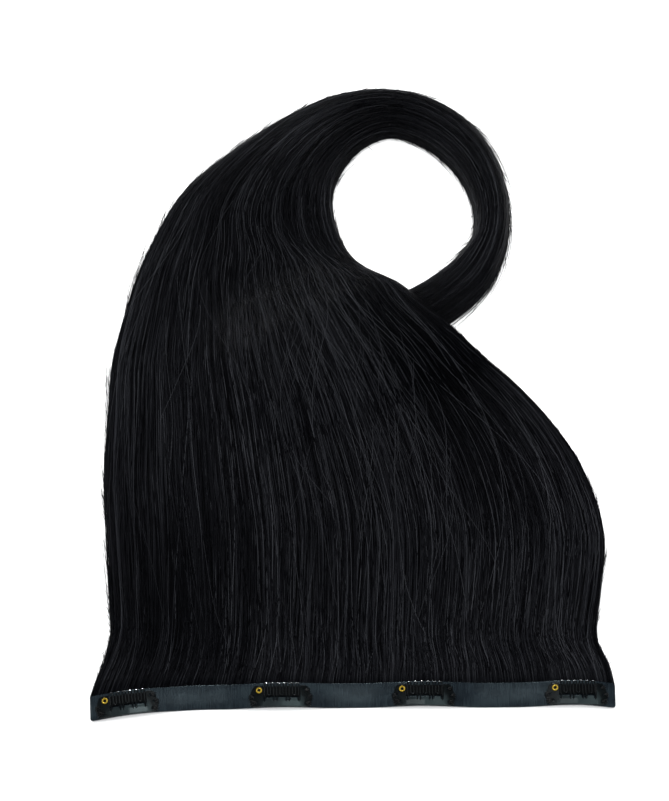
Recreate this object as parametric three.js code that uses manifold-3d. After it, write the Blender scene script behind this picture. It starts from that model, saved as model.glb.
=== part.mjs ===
// A clip-in hair extension: one wide weft of long straight hair that lies on a table,
// with its hair swept up into a tail that curls round once and is tucked under itself.
// Millimetres, +X along the weft band, +Y from the band towards the curl, +Z up from the table.
// The origin is the middle of the band's back face, where the band rests on the table.

import * as THREE from "three";
import { mergeVertices } from "three/addons/utils/BufferGeometryUtils.js";
import Module from "manifold-3d";

const wasm = await Module();
wasm.setup();

// Points closer than this are one point.
const mergeDistance = 1e-4;

// Weft band: a flexible plastic strip that holds the hair's roots.
const bandLength = 266;
const bandHeight = 13;
const bandThickness = 1;
const bandCornerRadius = 1.2;
const bandStations = 51;
const bandCornerSteps = [0, 0.3, 1];
const humpHeight = 3;
const humpLength = 62;
// How far the lying band strays in plan from a straight line, in band heights, along its length.
const bandSway = [
  { along: -0.5, sway: -0.58 },
  { along: -0.43, sway: -0.37 },
  { along: -0.36, sway: -0.18 },
  { along: -0.29, sway: -0.08 },
  { along: -0.14, sway: -0.05 },
  { along: 0, sway: 0 },
  { along: 0.27, sway: 0.02 },
  { along: 0.43, sway: 0.05 },
  { along: 0.5, sway: -0.02 },
];

// Snap clips: where each one is sewn on, as a share of the band's length from its middle.
const clipPlaces = [-0.43, -0.138, 0.1345, 0.426];
const clipLength = 32;
const plateHeight = 11.2;
const sheetThickness = 0.5;
const clipStandoff = 0.45;
const clipMargin = 0.15;
const runningGap = 0.3;
const leftPlateWidth = 7.1;
const rightPlateWidth = 5.9;
const endPlateTopInset = 2.3;
const endPlateBottomInset = 1.6;
const endPlateWaist = 4.8;
const plateCornerRadius = 1.6;
const plateLap = 0.4;
const plateCurveSegments = 4;
const sewingHoleRadius = 0.75;
// Sewing holes, measured from the clip's end and up from the plate's lower edge.
const leftHoles = [
  { inset: 2.3, up: 5.4 },
  { inset: 3.9, up: 2.2 },
];
const rightHoles = [
  { inset: 3.8, up: 8.8 },
  { inset: 2.2, up: 5.3 },
  { inset: 3.3, up: 1.8 },
];
const backBarHeight = 5.4;
const backBarUp = 5.2;
const backBarSteps = 8;

// Comb leaf: a creased bar with looped teeth that reach over the back bar.
const leafBarHeight = 3.2;
const tabHeight = 1.3;
const tabCorner = 0.25;
const toothUnits = 3;
const toothWidth = 0.7;
const legInset = 0.15;
const toothThickness = 0.45;
const toothTop = 12.4;
const shortLoopBottom = 5.3;
const toothArch = 1.15;
const toothTipDrop = 0.35;
const bendSteps = 4;
// Where the sections of a leg stand, as shares of its length from one bend to the next.
const longLegSteps = [0, 0.25, 0.5, 0.75];
const shortLegSteps = [0.33, 0.66];
// The bar fills the space between the end plates, and its loops share it out evenly.
const leafLeft = leftPlateWidth + runningGap - clipLength / 2;
const leafRight = clipLength / 2 - rightPlateWidth - runningGap;
const leafMiddle = (leafLeft + leafRight) / 2;
const leafHalf = (leafRight - leafLeft) / 2;
const loopRadiusShare = 0.26;
const tabWidthShare = 0.95;
const loopPitch = (leafHalf - legInset - toothWidth / 2) / (toothUnits - 0.5 + loopRadiusShare);
const loopRadius = loopRadiusShare * loopPitch;
const tabWidth = tabWidthShare * loopPitch;

// Brass eyelet that closes the sheet at the clip's left end.
const eyeletInset = 5.1;
const eyeletUp = 8.6;
const eyeletFlangeRadius = 1.6;
const eyeletFlangeThickness = 0.45;
const eyeletBarrelRadius = 1.05;
const eyeletBoreRadius = 0.78;
const eyeletSides = 12;
// The flange rolls over from its rim at rollFoot of its thickness, between two shares of its width.
const rollFoot = 0.45;
const rollInner = 0.3;
const rollOuter = 0.62;

// Hair: its reach, the curl's open middle and the tail that goes round it.
const rootGap = 0.4;
const rootDepth = 1.3;
const hairDepth = 8;
const curlCentreX = 29.5;
const curlCentreY = 283.5;
const curlHoleWidth = 79;
const curlHoleHeight = 99;
const tailWidth = 34;
const tailDepth = 12;
const tuckedTailDepth = 7;
const tuckClearance = 0.8;
const tuckShoulder = 34;
const lockCount = 14;
const lockRings = 40;
const lockSpread = 0.2;
const grooveShare = 0.62;
const lockStagger = 3;
const tipShrink = 0.45;
const lockWave = 0.08;
const lockWavePhase = 2.4;
const lockWaveTurns = 9;
const edgeFullness = 0.3;
const fullnessSpread = 2.4;
const fullnessRound = 0.6;
// Rows of the tables below, counted from the root: where the hair has left the band, where its edges
// are rounded, how far past the fan the tuck ends, and over how many rows it ends.
const offBandRow = 2;
const roundedRow = 5;
const tuckPastFan = 3;
const tuckEndRows = 2;

// The fan, from just above the band to where it crosses the tucked tail. Left and right edges are
// shares of the band's length across and of the curl centre's distance up; depth is a share of hairDepth.
const fanRows = [
  { leftX: -0.48, leftY: 0.05, rightX: 0.486, rightY: 0.06, depth: 0.35 },
  { leftX: -0.464, leftY: 0.112, rightX: 0.466, rightY: 0.107, depth: 0.55 },
  { leftX: -0.471, leftY: 0.195, rightX: 0.479, rightY: 0.195, depth: 0.75 },
  { leftX: -0.483, leftY: 0.317, rightX: 0.492, rightY: 0.313, depth: 0.9 },
  { leftX: -0.492, leftY: 0.427, rightX: 0.458, rightY: 0.442, depth: 1 },
  { leftX: -0.49, leftY: 0.545, rightX: 0.396, rightY: 0.545, depth: 1 },
  { leftX: -0.487, leftY: 0.664, rightX: 0.315, rightY: 0.636, depth: 1 },
  { leftX: -0.465, leftY: 0.773, rightX: 0.234, rightY: 0.705, depth: 1 },
  { leftX: -0.441, leftY: 0.866, rightX: 0.158, rightY: 0.769, depth: 1.05 },
];

// The curl, clockwise from the bottom of its open middle. Each section starts on the hole's edge at
// `turn` degrees, moved out by `drift` hole radii, and runs `width` tail widths in the direction
// `toward`, in degrees from +X. Depth is a share of tailDepth.
const curlRows = [
  { turn: 2, drift: 0.038, toward: 165, width: 4.16, depth: 0.75 },
  { turn: 45, drift: -0.036, toward: 157, width: 3.19, depth: 0.85 },
  { turn: 80, drift: -0.006, toward: 153, width: 2.37, depth: 0.95 },
  { turn: 106, drift: 0.051, toward: 146, width: 1.73, depth: 1 },
  { turn: 130, drift: 0.049, toward: 136, width: 1.33, depth: 1 },
  { turn: 149, drift: 0.052, toward: 120, width: 1.1, depth: 1 },
  { turn: 170, drift: 0.046, toward: 104, width: 0.93, depth: 1 },
  { turn: 191, drift: -0.03, toward: 84, width: 0.91, depth: 0.98 },
  { turn: 216, drift: -0.08, toward: 66, width: 0.88, depth: 0.96 },
  { turn: 243, drift: -0.06, toward: 52, width: 0.8, depth: 0.95 },
  { turn: 268, drift: 0.002, toward: 36, width: 0.67, depth: 0.95 },
  { turn: 287, drift: 0.027, toward: 16, width: 0.61, depth: 0.92 },
  { turn: 303, drift: -0.036, toward: -13, width: 0.67, depth: 0.85 },
  { turn: 322, drift: -0.082, toward: -36, width: 0.78, depth: 0.72 },
];

// The tucked end of the tail, as the curl's rows, with depth as a share of tuckedTailDepth.
const tuckedRows = [
  { turn: 356, drift: 0, toward: -48, width: 0.86, depth: 1 },
  { turn: 384, drift: 0.32, toward: -54, width: 0.9, depth: 0.95 },
  { turn: 398, drift: 0.94, toward: -52, width: 0.8, depth: 0.8 },
  { turn: 405, drift: 1.67, toward: -51, width: 0.55, depth: 0.4 },
];

// Small steps used by every shape below.
const smooth = (t) => t * t * (3 - 2 * t);
const clamp01 = (t) => Math.min(1, Math.max(0, t));
const mix = (a, b, t) => a + (b - a) * t;

// Catmull-Rom value of a table column at a place along the band.
function alongTable(table, key, along) {
  const last = table.length - 1;
  let k = 0;
  while (k < last - 1 && along > table[k + 1].along) k += 1;
  const before = table[Math.max(0, k - 1)];
  const from = table[k];
  const to = table[k + 1];
  const after = table[Math.min(last, k + 2)];
  const t = clamp01((along - from.along) / (to.along - from.along));
  const slopeIn = ((to[key] - before[key]) / (to.along - before.along)) * (to.along - from.along);
  const slopeOut = ((after[key] - from[key]) / (after.along - from.along)) * (to.along - from.along);
  const t2 = t * t;
  const t3 = t2 * t;
  return (
    (2 * t3 - 3 * t2 + 1) * from[key] + (t3 - 2 * t2 + t) * slopeIn
    + (3 * t2 - 2 * t3) * to[key] + (t3 - t2) * slopeOut
  );
}

// The band's middle line in plan, and its rise off the table: one cosine hump under each clip.
const swayAt = (x) => bandHeight * alongTable(bandSway, "sway", x / bandLength);
const headingAt = (x) => Math.atan2(swayAt(x + 0.5) - swayAt(x - 0.5), 1);
const clipX = clipPlaces.map((share) => share * bandLength);

function riseAt(x) {
  return clipX.reduce((rise, middle) => {
    const away = Math.min(Math.abs(x - middle) / humpLength, 0.5);
    return rise + humpHeight * Math.cos(Math.PI * away) ** 2;
  }, 0);
}

// A point on the band: x along it, `up` from its middle line towards the hair, z above its back face.
function bandPoint(x, up, z) {
  const heading = headingAt(x);
  return new THREE.Vector3(x - Math.sin(heading) * up, swayAt(x) + Math.cos(heading) * up, riseAt(x) + z);
}

// A closed body through rings of equally many points, with its two ends capped and its faces outwards.
function loft(rings) {
  const around = rings[0].length;
  const positions = rings.flat().flatMap((p) => [p.x, p.y, p.z]);
  const index = [];
  for (let r = 0; r + 1 < rings.length; r += 1) {
    for (let a = 0; a < around; a += 1) {
      const b = (a + 1) % around;
      const low = r * around;
      const high = low + around;
      index.push(low + a, low + b, high + b, low + a, high + b, high + a);
    }
  }
  const end = (rings.length - 1) * around;
  for (let a = 1; a + 1 < around; a += 1) {
    index.push(0, a + 1, a);
    index.push(end, end + a, end + a + 1);
  }
  const geometry = new THREE.BufferGeometry();
  geometry.setAttribute("position", new THREE.Float32BufferAttribute(positions, 3));
  geometry.setIndex(index);
  return facingOut(geometry);
}

// Turns a closed geometry's faces round where its signed volume is negative.
function facingOut(geometry) {
  const at = geometry.getAttribute("position");
  const index = geometry.index.array;
  const corner = [new THREE.Vector3(), new THREE.Vector3(), new THREE.Vector3()];
  let volume = 0;
  for (let i = 0; i < index.length; i += 3) {
    corner.forEach((c, k) => c.fromBufferAttribute(at, index[i + k]));
    volume += corner[0].dot(corner[1].cross(corner[2]));
  }
  if (volume < 0) {
    for (let i = 0; i < index.length; i += 3) [index[i + 1], index[i + 2]] = [index[i + 2], index[i + 1]];
  }
  return geometry;
}

// A geometry's merged vertices and triangles as a solid that can be joined or cut.
function solid(geometry) {
  const bare = new THREE.BufferGeometry();
  bare.setAttribute("position", geometry.getAttribute("position").clone());
  if (geometry.index) bare.setIndex(geometry.index.clone());
  const merged = mergeVertices(bare, mergeDistance);
  const vertProperties = new Float32Array(merged.getAttribute("position").array);
  const triVerts = new Uint32Array(merged.index.array);
  return new wasm.Manifold(new wasm.Mesh({ numProp: 3, vertProperties, triVerts }));
}

function geometryOf(body) {
  const mesh = body.getMesh();
  const geometry = new THREE.BufferGeometry();
  geometry.setAttribute("position", new THREE.Float32BufferAttribute(mesh.vertProperties, mesh.numProp));
  geometry.setIndex([...mesh.triVerts]);
  geometry.computeVertexNormals();
  return geometry;
}

const fuse = (geometries) => geometryOf(geometries.map(solid).reduce((whole, next) => whole.add(next)));

// Weft band: a strip of rectangular section along the band's line, with rounded ends.
function bandGeometry() {
  const half = bandLength / 2;
  const corner = bandCornerSteps.map((share) => -half + share * bandCornerRadius);
  const inner = bandLength - 2 * bandCornerRadius;
  const middle = Array.from({ length: bandStations - 1 }, (_, k) => {
    return -half + bandCornerRadius + ((k + 1) * inner) / bandStations;
  });
  const stations = [...corner, ...middle, ...corner.map((x) => -x).reverse()];
  const rings = stations.map((x) => {
    const fromEnd = Math.min(bandCornerRadius, half - Math.abs(x));
    const inset = bandCornerRadius - Math.sqrt(bandCornerRadius ** 2 - (bandCornerRadius - fromEnd) ** 2);
    const top = bandHeight / 2 - inset;
    return [
      bandPoint(x, -top, 0), bandPoint(x, top, 0),
      bandPoint(x, top, bandThickness), bandPoint(x, -top, bandThickness),
    ];
  });
  return loft(rings);
}

// How high a clip's sheet lies above the clip's own middle: it bows with the hump it is sewn on.
const bowAt = (clip, x) => riseAt(clip + x) - riseAt(clip);

// An upright rectangle across the clip at x, from y low to y high and from z to z + thickness.
function crossSection(x, low, high, z, thickness) {
  return [
    new THREE.Vector3(x, low, z), new THREE.Vector3(x, high, z),
    new THREE.Vector3(x, high, z + thickness), new THREE.Vector3(x, low, z + thickness),
  ];
}

// An end plate is flat, and leans as the clip bows: its rise per millimetre of x, and its height at x.
const plateWidth = (side) => (side < 0 ? leftPlateWidth : rightPlateWidth);

function plateSlope(clip, side) {
  const end = side * (clipLength / 2);
  const inner = end - side * plateWidth(side);
  return (bowAt(clip, end) - bowAt(clip, inner)) / (end - inner);
}

function plateHeightAt(clip, side, x) {
  const middle = side * (clipLength / 2 - plateWidth(side) / 2);
  return bowAt(clip, middle) + plateSlope(clip, side) * (x - middle);
}

// Draws a line up to a corner and rounds it on the way to the next point.
function roundCorner(shape, corner, next) {
  const from = shape.currentPoint.clone();
  const before = corner.clone().add(from.sub(corner).setLength(plateCornerRadius));
  const after = corner.clone().add(next.clone().sub(corner).setLength(plateCornerRadius));
  shape.lineTo(before.x, before.y);
  shape.quadraticCurveTo(corner.x, corner.y, after.x, after.y);
}

// One flat end plate with its holes; side is -1 for the eyelet end and 1 for the plain end.
function endPlate(clip, side, holes) {
  const end = clipLength / 2;
  const inner = end - plateWidth(side);
  const waist = new THREE.Vector2(end, endPlateWaist);
  const lowerCorner = new THREE.Vector2(end - endPlateBottomInset, 0);
  const upperCorner = new THREE.Vector2(end - endPlateTopInset, plateHeight);
  const shape = new THREE.Shape();
  shape.moveTo(inner, 0);
  roundCorner(shape, lowerCorner, waist);
  shape.lineTo(waist.x, waist.y);
  roundCorner(shape, upperCorner, new THREE.Vector2(inner, plateHeight));
  shape.lineTo(inner, plateHeight);
  shape.closePath();
  for (const hole of holes) {
    const path = new THREE.Path();
    path.absarc(end - hole.inset, hole.up, hole.radius, 0, 2 * Math.PI, true);
    shape.holes.push(path);
  }
  const settings = { depth: sheetThickness, bevelEnabled: false, curveSegments: plateCurveSegments };
  const plate = new THREE.ExtrudeGeometry(shape, settings);
  const at = plate.getAttribute("position");
  for (let i = 0; i < at.count; i += 1) {
    const x = side * at.getX(i);
    at.setX(i, x);
    at.setZ(i, at.getZ(i) + plateHeightAt(clip, side, x));
  }
  plate.deleteAttribute("normal");
  plate.deleteAttribute("uv");
  return facingOut(mergeVertices(plate, mergeDistance));
}

// Clip frame: two end plates joined by the wide bar that lies behind the teeth.
function frameGeometry(clip) {
  const eyeletHole = { inset: eyeletInset, up: eyeletUp, radius: eyeletBarrelRadius + runningGap };
  const sewing = (hole) => ({ ...hole, radius: sewingHoleRadius });
  const left = endPlate(clip, -1, [eyeletHole, ...leftHoles.map(sewing)]);
  const right = endPlate(clip, 1, rightHoles.map(sewing));
  const barLeft = leftPlateWidth - plateLap - clipLength / 2;
  const barRight = clipLength / 2 - rightPlateWidth + plateLap;
  const rings = Array.from({ length: backBarSteps + 1 }, (_, k) => {
    const x = mix(barLeft, barRight, k / backBarSteps);
    return crossSection(x, backBarUp, backBarUp + backBarHeight, bowAt(clip, x), sheetThickness);
  });
  return fuse([left, right, loft(rings)]);
}

// The comb leaf's own height: two straight halves that meet in a crease at the middle of the leaf.
function leafRise(clip, x) {
  const end = x < leafMiddle ? leafLeft : leafRight;
  return mix(bowAt(clip, leafMiddle), bowAt(clip, end), (x - leafMiddle) / (end - leafMiddle));
}

// Where a tooth stands: the teeth are spread two loops apart from the middle of the leaf.
const toothMiddle = (unit) => leafMiddle + (unit - (toothUnits - 1) / 2) * 2 * loopPitch;

// Leaf bar, with a low tab under each short loop.
function leafBar(clip) {
  const steps = [{ x: leafLeft, high: leafBarHeight }];
  for (let unit = 0; unit < toothUnits; unit += 1) {
    const middle = toothMiddle(unit);
    steps.push({ x: middle - tabWidth / 2 - tabCorner, high: leafBarHeight });
    steps.push({ x: middle - tabWidth / 2, high: leafBarHeight + tabHeight });
    if (middle === leafMiddle) steps.push({ x: middle, high: leafBarHeight + tabHeight });
    steps.push({ x: middle + tabWidth / 2, high: leafBarHeight + tabHeight });
    steps.push({ x: middle + tabWidth / 2 + tabCorner, high: leafBarHeight });
  }
  steps.push({ x: leafRight, high: leafBarHeight });
  return loft(steps.map(({ x, high }) => crossSection(x, 0, high, leafRise(clip, x), sheetThickness)));
}

// Height of a tooth's middle line above the sheet: it climbs off the bar, arches and dips at its tip.
function toothLift(y) {
  const climb = smooth(clamp01((y - leafBarHeight) / (backBarUp - leafBarHeight)));
  const dip = smooth(clamp01((y - backBarUp - backBarHeight) / (toothTop - backBarUp - backBarHeight)));
  return sheetThickness / 2 + toothArch * climb - toothTipDrop * dip;
}

// One M-shaped tooth of flat wire: long leg, loop, short return loop, loop, long leg.
function toothGeometry(clip, middle) {
  const loopY = toothTop - toothWidth / 2 - loopRadius;
  const returnRadius = loopPitch / 2 - loopRadius;
  const returnY = shortLoopBottom + toothWidth / 2 + returnRadius;
  const rootY = leafBarHeight - toothWidth;
  const line = [];
  const leg = (x, from, to, steps) => steps.forEach((share) => line.push([x, mix(from, to, share)]));
  const bend = (x, y, radius, from, to) => {
    for (let k = 0; k <= bendSteps; k += 1) {
      const angle = mix(from, to, k / bendSteps);
      line.push([x + radius * Math.cos(angle), y + radius * Math.sin(angle)]);
    }
  };
  leg(middle - loopPitch / 2 - loopRadius, rootY, loopY, longLegSteps);
  bend(middle - loopPitch / 2, loopY, loopRadius, Math.PI, 0);
  leg(middle - returnRadius, loopY, returnY, shortLegSteps);
  bend(middle, returnY, returnRadius, Math.PI, 2 * Math.PI);
  leg(middle + returnRadius, returnY, loopY, shortLegSteps);
  bend(middle + loopPitch / 2, loopY, loopRadius, Math.PI, 0);
  leg(middle + loopPitch / 2 + loopRadius, loopY, rootY, longLegSteps.map((share) => 1 - share).reverse());
  const rings = line.map(([x, y], k) => {
    const [ax, ay] = line[Math.max(0, k - 1)];
    const [bx, by] = line[Math.min(line.length - 1, k + 1)];
    const length = Math.hypot(bx - ax, by - ay);
    const nx = ((ay - by) / length) * (toothWidth / 2);
    const ny = ((bx - ax) / length) * (toothWidth / 2);
    const z = toothLift(y) + leafRise(clip, x);
    const t = toothThickness / 2;
    return [
      new THREE.Vector3(x - nx, y - ny, z - t), new THREE.Vector3(x + nx, y + ny, z - t),
      new THREE.Vector3(x + nx, y + ny, z + t), new THREE.Vector3(x - nx, y - ny, z + t),
    ];
  });
  return loft(rings);
}

function combGeometry(clip) {
  const teeth = Array.from({ length: toothUnits }, (_, unit) => toothGeometry(clip, toothMiddle(unit)));
  return fuse([leafBar(clip), ...teeth]);
}

// Eyelet: a short tube with a rolled flange on the face of the end plate.
function eyeletGeometry() {
  const seat = sheetThickness + runningGap / 2;
  const top = seat + eyeletFlangeThickness;
  const profile = [
    [eyeletBoreRadius, 0], [eyeletBarrelRadius, 0], [eyeletBarrelRadius, seat],
    [eyeletFlangeRadius, seat], [eyeletFlangeRadius, mix(seat, top, rollFoot)],
    [mix(eyeletBoreRadius, eyeletFlangeRadius, rollOuter), top],
    [mix(eyeletBoreRadius, eyeletFlangeRadius, rollInner), top],
    [eyeletBoreRadius, mix(seat, top, rollFoot)], [eyeletBoreRadius, 0],
  ].map(([radius, height]) => new THREE.Vector2(radius, height));
  const lathe = new THREE.LatheGeometry(profile, eyeletSides);
  lathe.rotateX(Math.PI / 2);
  lathe.deleteAttribute("normal");
  lathe.deleteAttribute("uv");
  return facingOut(mergeVertices(lathe, mergeDistance));
}

// A point of the curl's section: v is 0 at its outer edge and 1 on the hole's edge.
function curlPoint(row, v) {
  const angle = THREE.MathUtils.degToRad(-90 - row.turn);
  const away = 1 + row.drift;
  const edgeX = curlCentreX + (curlHoleWidth / 2) * away * Math.cos(angle);
  const edgeY = curlCentreY + (curlHoleHeight / 2) * away * Math.sin(angle);
  const toward = THREE.MathUtils.degToRad(row.toward);
  const out = row.width * tailWidth * (1 - v);
  return [edgeX + out * Math.cos(toward), edgeY + out * Math.sin(toward)];
}

// The line that a strand follows from root to tip; z holds the hair's depth there.
function strand(v) {
  const root = bandPoint((v - 0.5) * (bandLength - 2 * bandCornerRadius), bandHeight / 2 + rootGap, 0);
  const points = [new THREE.Vector3(root.x, root.y, rootDepth)];
  for (const row of fanRows) {
    const x = mix(row.leftX, row.rightX, v) * bandLength;
    const y = mix(row.leftY, row.rightY, v) * curlCentreY;
    points.push(new THREE.Vector3(x, y, row.depth * hairDepth));
  }
  const turned = (row, fullDepth) => new THREE.Vector3(...curlPoint(row, v), row.depth * fullDepth);
  points.push(...curlRows.map((row) => turned(row, tailDepth)));
  points.push(...tuckedRows.map((row) => turned(row, tuckedTailDepth)));
  return new THREE.CatmullRomCurve3(points, false, "centripetal");
}

const rowCount = 1 + fanRows.length + curlRows.length + tuckedRows.length;
const tuckLine = [curlRows.at(-1), ...tuckedRows].map((row) => new THREE.Vector2(...curlPoint(row, 0.5)));

// Distance in plan from the tucked tail's middle line.
function fromTuck(x, y) {
  const p = new THREE.Vector2(x, y);
  let nearest = Infinity;
  for (let k = 0; k + 1 < tuckLine.length; k += 1) {
    const step = tuckLine[k + 1].clone().sub(tuckLine[k]);
    const t = clamp01(p.clone().sub(tuckLine[k]).dot(step) / step.lengthSq());
    nearest = Math.min(nearest, p.distanceTo(tuckLine[k].clone().addScaledVector(step, t)));
  }
  return nearest;
}

// Height of the hair's underside: level with the band at the root, over the tucked tail, else the table.
function underside(x, y, rowShare) {
  const row = rowShare * (rowCount - 1);
  const atRoot = riseAt(x) * (1 - smooth(clamp01(row / offBandRow)));
  const overFan = 1 - smooth(clamp01((row - fanRows.length - tuckPastFan) / tuckEndRows));
  const shoulder = clamp01((fromTuck(x, y) - tailWidth / 2) / tuckShoulder);
  return atRoot + (tuckedTailDepth + tuckClearance) * (1 - smooth(shoulder)) * overFan;
}

// How full the mass is across its width: level at the roots, rounded at both edges further on.
function fullness(v, rowShare) {
  const rounded = smooth(clamp01((rowShare * (rowCount - 1)) / roundedRow));
  const crown = (1 - Math.abs(2 * v - 1) ** fullnessSpread) ** fullnessRound;
  return mix(1, mix(edgeFullness, 1, crown), rounded);
}

// The strands that part one lock from the next, unevenly spread from the outer edge to the hole's edge.
const partings = Array.from({ length: lockCount + 1 }, (_, k) => {
  const inside = k > 0 && k < lockCount;
  return strand((k + (inside ? lockSpread * Math.sin(k * lockWavePhase) : 0)) / lockCount);
});
const partingPlace = (k) => k / lockCount;

// The ridge of a lock's back, between its partings: across as a share of its width, up as one of its depth.
const lockRidge = [
  { across: 0.88, up: 0.86 },
  { across: 0.5, up: 1 },
  { across: 0.12, up: 0.86 },
];

// A section through one lock: flat below, straight walls shared with its neighbours, a rounded back.
function lockSection(number, share) {
  const at = (k) => partings[k].getPoint(share);
  const left = at(number);
  const right = at(number + 1);
  const raised = (p, place, up) => {
    const top = underside(p.x, p.y, share) + p.z * fullness(place, share) * up;
    return new THREE.Vector3(p.x, p.y, top);
  };
  const wall = (p, k) => [raised(p, 0, 0), raised(p, partingPlace(k), grooveShare)];
  const wave = 1 + lockWave * Math.sin(number * lockWavePhase + share * lockWaveTurns);
  const ridge = lockRidge.map(({ across, up }) => {
    return raised(left.clone().lerp(right, across), partingPlace(number + across), up * wave);
  });
  const [leftLow, leftHigh] = wall(left, number);
  const [rightLow, rightHigh] = wall(right, number + 1);
  return [leftLow, rightLow, rightHigh, ...ridge, leftHigh];
}

// One lock, from the band to its tip; its last section is drawn in, so that the tips part.
function lockGeometry(number) {
  const sections = lockRings - (2 * number) % lockStagger;
  const rings = Array.from({ length: sections }, (_, k) => lockSection(number, k / (lockRings - 1)));
  const tip = rings.at(-1);
  const middle = tip.reduce((sum, p) => sum.add(p), new THREE.Vector3()).divideScalar(tip.length);
  tip.forEach((p) => p.lerp(middle, tipShrink));
  return loft(rings);
}

const hairGeometry = () => fuse(Array.from({ length: lockCount }, (_, number) => lockGeometry(number)));

const bandMaterial = new THREE.MeshStandardMaterial({ color: 0x2b353c, roughness: 0.32, metalness: 0 });
const hairMaterial = new THREE.MeshStandardMaterial({ color: 0x0e0e10, roughness: 0.5, metalness: 0 });
const steelMaterial = new THREE.MeshStandardMaterial({ color: 0x23292a, roughness: 0.3, metalness: 0.8 });
const brassMaterial = new THREE.MeshStandardMaterial({ color: 0xc99a1e, roughness: 0.25, metalness: 1 });

function part(name, geometry, material) {
  const mesh = new THREE.Mesh(geometry, material);
  mesh.name = name;
  return mesh;
}

function clip(number) {
  const x = clipX[number];
  const group = new THREE.Group();
  group.position.copy(bandPoint(x, clipMargin - bandHeight / 2, bandThickness + clipStandoff));
  group.rotation.z = headingAt(x);
  const name = `clip_${number + 1}`;
  const eyelet = part(`${name}_eyelet`, eyeletGeometry(), brassMaterial);
  const eyeletX = eyeletInset - clipLength / 2;
  eyelet.position.set(eyeletX, eyeletUp, plateHeightAt(x, -1, eyeletX));
  eyelet.rotation.y = -Math.atan(plateSlope(x, -1));
  group.add(part(`${name}_frame`, frameGeometry(x), steelMaterial));
  group.add(part(`${name}_comb`, combGeometry(x), steelMaterial));
  group.add(eyelet);
  return group;
}

const extension = new THREE.Group();
extension.add(part("weft_band", bandGeometry(), bandMaterial));
extension.add(part("hair", hairGeometry(), hairMaterial));
clipPlaces.forEach((_, number) => extension.add(clip(number)));

export default extension;
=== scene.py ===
import math
import bmesh
import bpy
import numpy as np
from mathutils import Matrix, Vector


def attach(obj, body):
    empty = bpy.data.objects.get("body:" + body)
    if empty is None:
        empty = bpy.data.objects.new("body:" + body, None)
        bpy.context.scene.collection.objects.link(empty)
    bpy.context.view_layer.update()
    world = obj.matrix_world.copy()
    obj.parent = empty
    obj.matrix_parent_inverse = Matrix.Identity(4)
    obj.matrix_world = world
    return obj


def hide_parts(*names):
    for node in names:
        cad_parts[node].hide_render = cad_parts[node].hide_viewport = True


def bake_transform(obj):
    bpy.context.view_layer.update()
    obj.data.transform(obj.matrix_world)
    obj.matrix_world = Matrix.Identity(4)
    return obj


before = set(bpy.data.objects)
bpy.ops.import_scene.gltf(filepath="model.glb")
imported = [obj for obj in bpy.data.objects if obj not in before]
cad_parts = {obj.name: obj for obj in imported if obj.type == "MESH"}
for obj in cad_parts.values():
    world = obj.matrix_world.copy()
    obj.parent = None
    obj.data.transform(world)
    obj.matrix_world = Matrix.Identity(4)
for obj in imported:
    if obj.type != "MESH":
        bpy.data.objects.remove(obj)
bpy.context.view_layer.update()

# The table and the light. The weft lies on a plain pale table in a studio. Broad light from above makes
# the table bright, and a few soft boxes are the only things that the gloss of band, clips and hair mirrors.
TABLE_HALF = 4.0
scene = bpy.context.scene
scene.view_settings.view_transform = "Standard"


def shader(name, **values):
    """A new material and its Principled shader, with the shader's own sockets set to the given values."""
    material = bpy.data.materials.new(name)
    material.use_nodes = True
    principled = material.node_tree.nodes["Principled BSDF"]
    for socket, value in values.items():
        principled.inputs[socket.replace("_", " ")].default_value = value
    return material, principled


table_mesh = bpy.data.meshes.new("table")
table_corners = [(TABLE_HALF * x, TABLE_HALF * y, 0) for x, y in ((-1, -1), (1, -1), (1, 1), (-1, 1))]
table_mesh.from_pydata(table_corners, [], [(0, 1, 2, 3)])
table = bpy.data.objects.new("table", table_mesh)
scene.collection.objects.link(table)
paint, _ = shader("table_paint", Base_Color=(0.93, 0.93, 0.93, 1), Roughness=0.9, Specular_IOR_Level=0.1)
table_mesh.materials.append(paint)

world = bpy.data.worlds.new("studio")
scene.world = world
world.use_nodes = True
sky = world.node_tree.nodes["Background"].inputs
sky["Color"].default_value = (0.93, 0.97, 1.0, 1)
sky["Strength"].default_value = 0.35
world.cycles_visibility.glossy = False


def soft_box(name, place, aim, size, power, mirrored):
    """A rectangular light of a size in metres, turned to face a point; mirrored lights show in gloss."""
    light = bpy.data.lights.new(name, "AREA")
    light.shape = "RECTANGLE"
    light.size, light.size_y = size
    light.energy = power
    lamp = bpy.data.objects.new(name, light)
    lamp.location = place
    lamp.rotation_euler = (Vector(aim) - Vector(place)).to_track_quat("-Z", "Y").to_euler()
    lamp.visible_glossy = mirrored
    scene.collection.objects.link(lamp)


soft_box("ceiling", (0, 0.2, 3.0), (0, 0.2, 0), (5.0, 5.0), 190, False)
soft_box("fill", (0, 0.8, 2.6), (0, 0.2, 0), (5.0, 5.0), 8, True)
soft_box("band_box", (-0.005, 0.52, 1.5), (0, 0, 0), (0.17, 0.5), 1.3, True)
soft_box("left_box", (-1.7, 0.5, 1.3), (0, 0.15, 0), (0.6, 1.6), 6, True)
soft_box("right_box", (1.5, -0.5, 1.2), (0, 0.15, 0), (0.7, 1.4), 7, True)
soft_box("back_box", (-0.23, 1.7, 1.3), (0, 0, 0), (0.2, 0.22), 13, True)
soft_box("back_glow", (0.05, 1.75, 1.34), (0, 0, 0), (1.3, 0.16), 10, True)

# The camera stands in front of the clips and looks down 64 degrees at the middle of the hair, through a
# long lens, so that the weft is hardly foreshortened from one side to the other.
LENS_MM = 100
LOOK_DOWN = math.radians(64)
LOOK_AT = Vector((-0.0094, 0.1670, 0))
CAMERA_DISTANCE = 1.2035

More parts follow.
